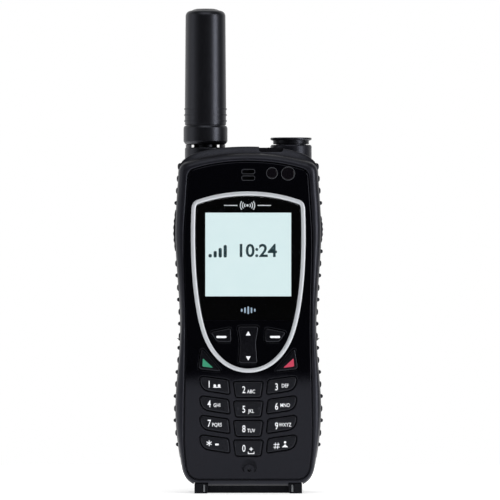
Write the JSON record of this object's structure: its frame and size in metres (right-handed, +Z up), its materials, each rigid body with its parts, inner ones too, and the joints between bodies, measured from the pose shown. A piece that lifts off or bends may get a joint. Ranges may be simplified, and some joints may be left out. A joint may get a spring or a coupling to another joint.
{
  "type": "satellite phone",
  "caption": "Handheld satellite phone with a rubber-edged body, oval-framed screen, keypad, side talk key and an antenna that pulls out and tilts.",
  "frame": {"origin": "centre of the bounding box in plan, on the plane the base stands on", "axes": "+Z up along the phone and its antenna, the face looks towards -Y, +X to the right of someone looking at the face"},
  "size_m": [0.0601, 0.032, 0.1942],
  "materials": {
    "rubber": "matte, textured",
    "casing": "matte, fine texture",
    "gloss_face": "gloss",
    "clear_lens": "polished",
    "silver_trim": "satin",
    "screen": "matte",
    "key_plastic": "satin",
    "green_key": "satin",
    "red_key": "satin",
    "antenna_plastic": "satin",
    "circuit_board": "solder mask",
    "steel": "plated",
    "driver_metal": "anodised",
    "silicone": "matte",
    "ceramic": "fired",
    "battery_can": "wrapped",
    "gold_contact": "plated",
    "orange_plastic": "satin"
  },
  "bodies": {
    "phone_body": {"front_housing": "casing", "rear_housing": "casing", "face_plate": "gloss_face", "display_lens": "clear_lens", "oval_trim_ring": "silver_trim", "display_frame": "gloss_face", "display_module": "screen", "keypad_mat": "silicone", "main_board": "circuit_board", "shield_can": "steel", "earpiece_speaker": "driver_metal", "microphone": "driver_metal", "loudspeaker": "driver_metal", "vibration_motor": "steel", "gps_cap": "antenna_plastic", "gps_patch_antenna": "ceramic", "left_grip": "rubber", "right_grip": "rubber", "base_block": "casing", "base_connector": "gold_contact", "case_screw_1": "steel", "case_screw_2": "steel", "case_screw_3": "steel", "case_screw_4": "steel", "sim_card": "gold_contact", "light_sensor_window": "gloss_face", "status_window": "gloss_face", "sos_hinge_pin": "steel"},
    "key_1": {"key_1": "key_plastic"},
    "key_2": {"key_2": "key_plastic"},
    "key_3": {"key_3": "key_plastic"},
    "key_4": {"key_4": "key_plastic"},
    "key_5": {"key_5": "key_plastic"},
    "key_6": {"key_6": "key_plastic"},
    "key_7": {"key_7": "key_plastic"},
    "key_8": {"key_8": "key_plastic"},
    "key_9": {"key_9": "key_plastic"},
    "key_star": {"key_star": "key_plastic"},
    "key_0": {"key_0": "key_plastic"},
    "key_hash": {"key_hash": "key_plastic"},
    "soft_key_left": {"soft_key_left": "key_plastic"},
    "soft_key_right": {"soft_key_right": "key_plastic"},
    "call_key": {"call_key": "green_key"},
    "end_key": {"end_key": "red_key"},
    "navigation_rocker": {"navigation_rocker": "key_plastic"},
    "talk_key": {"talk_key": "rubber"},
    "side_key": {"side_key": "rubber"},
    "sos_button": {"sos_button": "orange_plastic"},
    "sos_cover": {"sos_cover": "rubber"},
    "antenna_carriage": {"antenna_carriage": "antenna_plastic", "antenna_pin": "steel"},
    "antenna_mast": {"antenna_knuckle": "antenna_plastic", "antenna_collar": "antenna_plastic", "antenna_tube": "antenna_plastic", "antenna_element": "ceramic"},
    "battery_pack": {"battery_case": "casing", "battery_lid": "key_plastic", "battery_cell": "battery_can"},
    "battery_latch": {"battery_latch": "key_plastic"}
  },
  "joints": [
    {"name": "key_1_press", "type": "slide", "parent": "phone_body", "child": "key_1", "axis": [0, 1, 0], "range_m": [0, 0.0005], "stiffness_N_per_m": 400},
    {"name": "key_2_press", "type": "slide", "parent": "phone_body", "child": "key_2", "axis": [0, 1, 0], "range_m": [0, 0.0005], "stiffness_N_per_m": 400},
    {"name": "key_3_press", "type": "slide", "parent": "phone_body", "child": "key_3", "axis": [0, 1, 0], "range_m": [0, 0.0005], "stiffness_N_per_m": 400},
    {"name": "key_4_press", "type": "slide", "parent": "phone_body", "child": "key_4", "axis": [0, 1, 0], "range_m": [0, 0.0005], "stiffness_N_per_m": 400},
    {"name": "key_5_press", "type": "slide", "parent": "phone_body", "child": "key_5", "axis": [0, 1, 0], "range_m": [0, 0.0005], "stiffness_N_per_m": 400},
    {"name": "key_6_press", "type": "slide", "parent": "phone_body", "child": "key_6", "axis": [0, 1, 0], "range_m": [0, 0.0005], "stiffness_N_per_m": 400},
    {"name": "key_7_press", "type": "slide", "parent": "phone_body", "child": "key_7", "axis": [0, 1, 0], "range_m": [0, 0.0005], "stiffness_N_per_m": 400},
    {"name": "key_8_press", "type": "slide", "parent": "phone_body", "child": "key_8", "axis": [0, 1, 0], "range_m": [0, 0.0005], "stiffness_N_per_m": 400},
    {"name": "key_9_press", "type": "slide", "parent": "phone_body", "child": "key_9", "axis": [0, 1, 0], "range_m": [0, 0.0005], "stiffness_N_per_m": 400},
    {"name": "key_star_press", "type": "slide", "parent": "phone_body", "child": "key_star", "axis": [0, 1, 0], "range_m": [0, 0.0005], "stiffness_N_per_m": 400},
    {"name": "key_0_press", "type": "slide", "parent": "phone_body", "child": "key_0", "axis": [0, 1, 0], "range_m": [0, 0.0005], "stiffness_N_per_m": 400},
    {"name": "key_hash_press", "type": "slide", "parent": "phone_body", "child": "key_hash", "axis": [0, 1, 0], "range_m": [0, 0.0005], "stiffness_N_per_m": 400},
    {"name": "soft_key_left_press", "type": "slide", "parent": "phone_body", "child": "soft_key_left", "axis": [0, 1, 0], "range_m": [0, 0.0005], "stiffness_N_per_m": 400},
    {"name": "soft_key_right_press", "type": "slide", "parent": "phone_body", "child": "soft_key_right", "axis": [0, 1, 0], "range_m": [0, 0.0005], "stiffness_N_per_m": 400},
    {"name": "call_key_press", "type": "slide", "parent": "phone_body", "child": "call_key", "axis": [0, 1, 0], "range_m": [0, 0.0005], "stiffness_N_per_m": 400},
    {"name": "end_key_press", "type": "slide", "parent": "phone_body", "child": "end_key", "axis": [0, 1, 0], "range_m": [0, 0.0005], "stiffness_N_per_m": 400},
    {"name": "navigation_rocker_tilt", "type": "hinge", "parent": "phone_body", "child": "navigation_rocker", "pos_m": [0, -0.012, 0.0593], "axis": [1, 0, 0], "range_deg": [-1.8, 1.8], "stiffness_Nm_per_rad": 0.05},
    {"name": "talk_key_press", "type": "slide", "parent": "phone_body", "child": "talk_key", "axis": [1, 0, 0], "range_m": [0, 0.0006], "stiffness_N_per_m": 500},
    {"name": "side_key_press", "type": "slide", "parent": "phone_body", "child": "side_key", "axis": [-1, 0, 0], "range_m": [0, 0.0006], "stiffness_N_per_m": 500},
    {"name": "sos_button_press", "type": "slide", "parent": "phone_body", "child": "sos_button", "axis": [0, 0, -1], "range_m": [0, 0.0008], "stiffness_N_per_m": 500},
    {"name": "sos_cover_hinge", "type": "hinge", "parent": "phone_body", "child": "sos_cover", "pos_m": [0.0013, 0.0112, 0.1374], "axis": [-1, 0, 0], "range_deg": [0, 100]},
    {"name": "antenna_slide", "type": "slide", "parent": "phone_body", "child": "antenna_carriage", "axis": [0, 0, 1], "range_m": [-0.048, 0]},
    {"name": "antenna_tilt", "type": "hinge", "parent": "antenna_carriage", "child": "antenna_mast", "pos_m": [-0.0172, 0.005, 0.127], "axis": [0, -1, 0], "range_deg": [0, 25]},
    {"name": "battery_lift_off", "type": "slide", "parent": "phone_body", "child": "battery_pack", "axis": [0, 1, 0], "range_m": [0, 0.015]},
    {"name": "battery_latch_slide", "type": "slide", "parent": "phone_body", "child": "battery_latch", "axis": [0, 0, 1], "range_m": [0, 0.002], "stiffness_N_per_m": 300}
  ]
}
